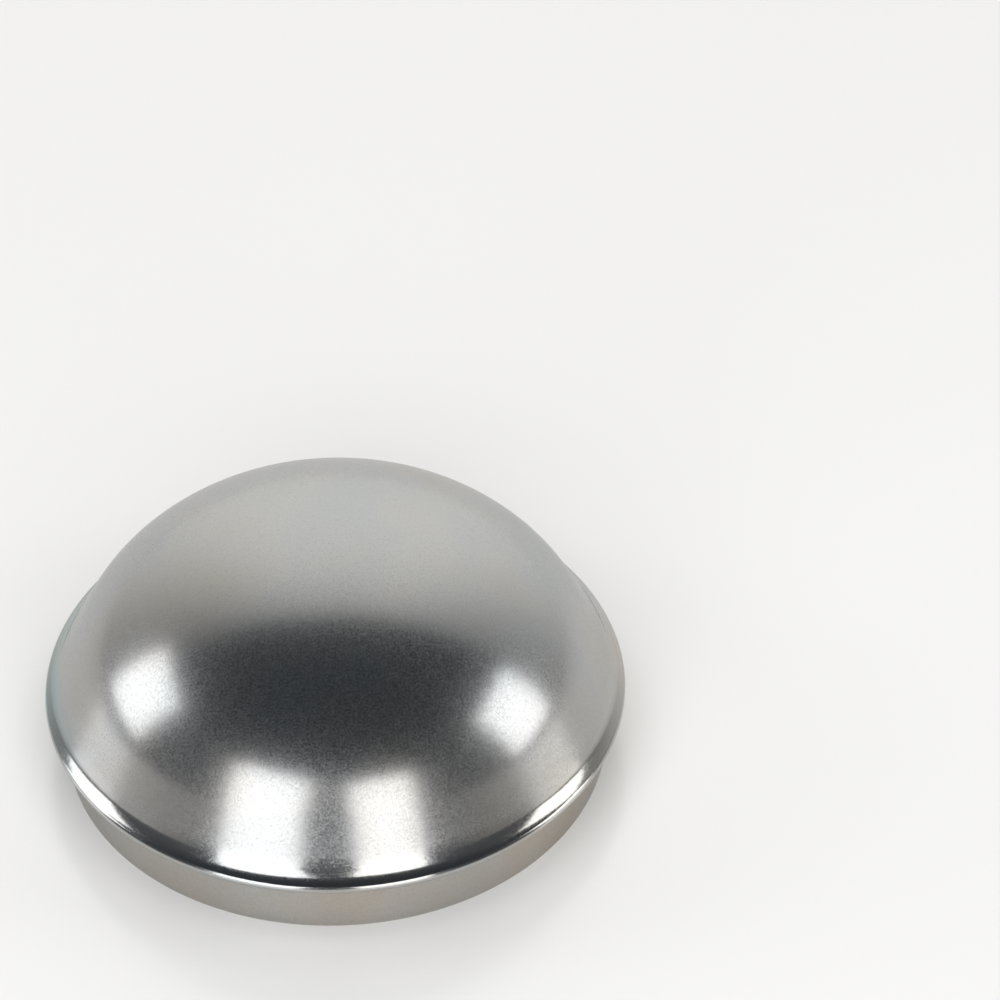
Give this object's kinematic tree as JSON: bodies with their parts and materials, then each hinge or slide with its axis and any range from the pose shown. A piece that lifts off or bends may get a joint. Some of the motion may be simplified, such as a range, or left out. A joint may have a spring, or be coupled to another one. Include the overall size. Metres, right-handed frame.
{
  "type": "hub grease cap",
  "caption": "Domed pressed-steel grease cap with a folded stop bead and a plain skirt that is driven into a wheel hub's bore to keep grease in and dirt out.",
  "frame": {"origin": "centre of the rim's plane, where the cap stands", "axes": "+Z along the cap's axis, from the open rim to the crown of the dome; X and Y are free, because the cap is round"},
  "size_m": [0.0814, 0.0814, 0.0361],
  "materials": {
    "zinc_plated_steel": "bright zinc plating with a satin grain and a faint blue and yellow passivation tint"
  },
  "bodies": {
    "root": {"grease_cap": "zinc_plated_steel"}
  },
  "joints": []
}
